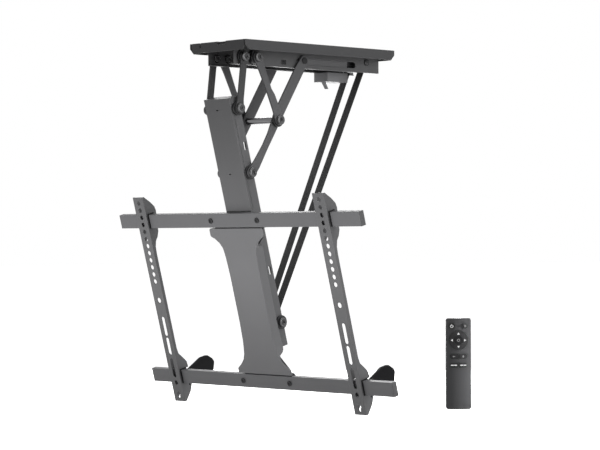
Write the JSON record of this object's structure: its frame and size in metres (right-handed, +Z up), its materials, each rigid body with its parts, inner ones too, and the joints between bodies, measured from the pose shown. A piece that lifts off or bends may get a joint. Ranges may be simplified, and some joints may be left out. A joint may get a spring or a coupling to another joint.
{
  "type": "motorized tv ceiling mount",
  "caption": "Motorised fold-down television ceiling mount: linked arms and straps lower a column with rails and hooked screen brackets; separate remote control.",
  "frame": {"origin": "centre of the ceiling plate's top face, which lies against the ceiling", "axes": "+X along the screen rails, to the right seen from the screen side; +Y from the plate's front end to its back end; +Z up, towards the ceiling"},
  "size_m": [0.821, 0.4443, 0.7651],
  "materials": {
    "black_steel": "satin black powder coat",
    "black_bolt": "black oxide",
    "zinc_steel": "bright zinc plated",
    "nylon": "matt black nylon",
    "webbing": "woven black webbing",
    "black_plastic": "matt black",
    "lever_plastic": "matt black",
    "remote_plastic": "semi-gloss black",
    "key_plastic": "dark grey",
    "window_plastic": "dark infrared window",
    "motor_steel": "zinc plated",
    "board": "green board",
    "battery": "printed sleeve, left plain"
  },
  "bodies": {
    "ceiling_unit": {"ceiling_plate": "black_steel", "channel_frame": "black_steel", "channel_screws": "black_bolt", "guide_tracks": "zinc_steel", "channel_pivot_bolts": "black_bolt", "channel_pivot_nuts": "black_bolt", "channel_pivot_bushes": "nylon", "drum_shaft_bushes": "nylon", "gearbox_case": "motor_steel", "lift_motor": "motor_steel", "control_box": "black_plastic", "control_board": "board", "remote_front_shell": "remote_plastic", "remote_back_shell": "remote_plastic", "battery_door": "remote_plastic", "remote_board": "board", "infrared_window": "window_plastic", "remote_batteries": "battery"},
    "short_arms": {"short_arm_left": "black_steel", "short_arm_right": "black_steel", "knee_shaft": "zinc_steel", "knee_shaft_heads": "black_bolt", "knee_bushes": "nylon"},
    "long_arms": {"long_arm_left": "black_steel", "long_arm_right": "black_steel", "lower_pivot_pin": "black_bolt", "slide_pins": "black_bolt", "slide_rollers": "nylon"},
    "column": {"column": "black_steel", "column_cover": "black_steel", "cover_screws": "black_bolt", "top_rail": "black_steel", "bottom_rail": "black_steel", "rail_end_caps": "black_plastic", "rail_bolts": "black_bolt", "strap_pin": "black_bolt", "column_bushes": "nylon"},
    "front_arms": {"front_arm_left": "black_steel", "front_arm_right": "black_steel", "top_pivot_bolts": "black_bolt", "top_pivot_bushes": "nylon"},
    "straps": {"lift_straps": "webbing"},
    "drum": {"drum_shaft": "zinc_steel", "lift_drums": "black_plastic", "strap_rolls": "webbing", "drum_gear": "motor_steel"},
    "pinion": {"motor_pinion": "motor_steel"},
    "bracket_left": {"bracket_left": "black_steel"},
    "bracket_right": {"bracket_right": "black_steel"},
    "lever_left": {"lock_lever_left": "lever_plastic"},
    "lever_right": {"lock_lever_right": "lever_plastic"},
    "key_power": {"power_key": "key_plastic"},
    "key_menu": {"menu_key": "key_plastic"},
    "key_direction_ring": {"direction_ring": "key_plastic"},
    "key_ok": {"ok_key": "key_plastic"},
    "key_back": {"back_key": "key_plastic"},
    "key_home": {"home_key": "key_plastic"},
    "key_preset": {"preset_key": "key_plastic"},
    "key_start": {"start_key": "key_plastic"}
  },
  "joints": [
    {"name": "fold", "type": "hinge", "parent": "ceiling_unit", "child": "short_arms", "pos_m": [0, -0.157, -0.032], "axis": [1, 0, 0], "range_deg": [0, 53.56], "deforming": ["lift_straps"]},
    {"name": "long_arm_turn", "type": "hinge", "parent": "short_arms", "child": "long_arms", "pos_m": [0, -0.09578, -0.16013], "axis": [1, 0, 0], "range_deg": [-101, 0]},
    {"name": "column_turn", "type": "hinge", "parent": "long_arms", "child": "column", "pos_m": [0, -0.16626, -0.27055], "axis": [1, 0, 0], "range_deg": [0, 122.5]},
    {"name": "front_arm_turn", "type": "hinge", "parent": "ceiling_unit", "child": "front_arms", "pos_m": [0, -0.188, -0.032], "axis": [1, 0, 0], "range_deg": [-55.1, 0]},
    {"name": "strap_turn", "type": "hinge", "parent": "ceiling_unit", "child": "straps", "pos_m": [0, 0.1795, -0.0253], "axis": [1, 0, 0], "range_deg": [0, 12.7]},
    {"name": "drum_spin", "type": "hinge", "parent": "ceiling_unit", "child": "drum", "pos_m": [0, 0.1795, -0.0253], "axis": [1, 0, 0], "range_deg": [0, 2150]},
    {"name": "pinion_spin", "type": "hinge", "parent": "ceiling_unit", "child": "pinion", "pos_m": [0, 0.1555, -0.0253], "axis": [1, 0, 0], "range_deg": [-6450, 0]},
    {"name": "bracket_left_slide", "type": "slide", "parent": "column", "child": "bracket_left", "axis": [1, 0, 0], "range_m": [-0.06, 0.18]},
    {"name": "bracket_right_slide", "type": "slide", "parent": "column", "child": "bracket_right", "axis": [-1, 0, 0], "range_m": [-0.078, 0.162]},
    {"name": "lever_left_turn", "type": "hinge", "parent": "bracket_left", "child": "lever_left", "pos_m": [-0.287, -0.06349, -0.72752], "axis": [1, 0, 0], "range_deg": [-55, 0]},
    {"name": "lever_right_turn", "type": "hinge", "parent": "bracket_right", "child": "lever_right", "pos_m": [0.2697, -0.06349, -0.72752], "axis": [1, 0, 0], "range_deg": [-55, 0]},
    {"name": "power_press", "type": "slide", "parent": "ceiling_unit", "child": "key_power", "axis": [-0.7193, 0.6947, 0], "range_m": [0, 0.001], "stiffness_N_per_m": 400, "springref_m": -0.0005},
    {"name": "menu_press", "type": "slide", "parent": "ceiling_unit", "child": "key_menu", "axis": [-0.7193, 0.6947, 0], "range_m": [0, 0.001], "stiffness_N_per_m": 400, "springref_m": -0.0005},
    {"name": "direction_ring_press", "type": "slide", "parent": "ceiling_unit", "child": "key_direction_ring", "axis": [-0.7193, 0.6947, 0], "range_m": [0, 0.001], "stiffness_N_per_m": 400, "springref_m": -0.0005},
    {"name": "ok_press", "type": "slide", "parent": "ceiling_unit", "child": "key_ok", "axis": [-0.7193, 0.6947, 0], "range_m": [0, 0.001], "stiffness_N_per_m": 400, "springref_m": -0.0005},
    {"name": "back_press", "type": "slide", "parent": "ceiling_unit", "child": "key_back", "axis": [-0.7193, 0.6947, 0], "range_m": [0, 0.001], "stiffness_N_per_m": 400, "springref_m": -0.0005},
    {"name": "home_press", "type": "slide", "parent": "ceiling_unit", "child": "key_home", "axis": [-0.7193, 0.6947, 0], "range_m": [0, 0.001], "stiffness_N_per_m": 400, "springref_m": -0.0005},
    {"name": "preset_press", "type": "slide", "parent": "ceiling_unit", "child": "key_preset", "axis": [-0.7193, 0.6947, 0], "range_m": [0, 0.001], "stiffness_N_per_m": 400, "springref_m": -0.0005},
    {"name": "start_press", "type": "slide", "parent": "ceiling_unit", "child": "key_start", "axis": [-0.7193, 0.6947, 0], "range_m": [0, 0.001], "stiffness_N_per_m": 400, "springref_m": -0.0005}
  ],
  "couplings": [
    {"joint": "long_arm_turn", "follows": "fold", "ratio": -1.8827},
    {"joint": "column_turn", "follows": "fold", "ratio": 2.283},
    {"joint": "front_arm_turn", "follows": "fold", "ratio": -1.0261},
    {"joint": "strap_turn", "follows": "fold", "ratio": 0.2352},
    {"joint": "drum_spin", "follows": "fold", "ratio": 40},
    {"joint": "pinion_spin", "follows": "fold", "ratio": -120}
  ]
}
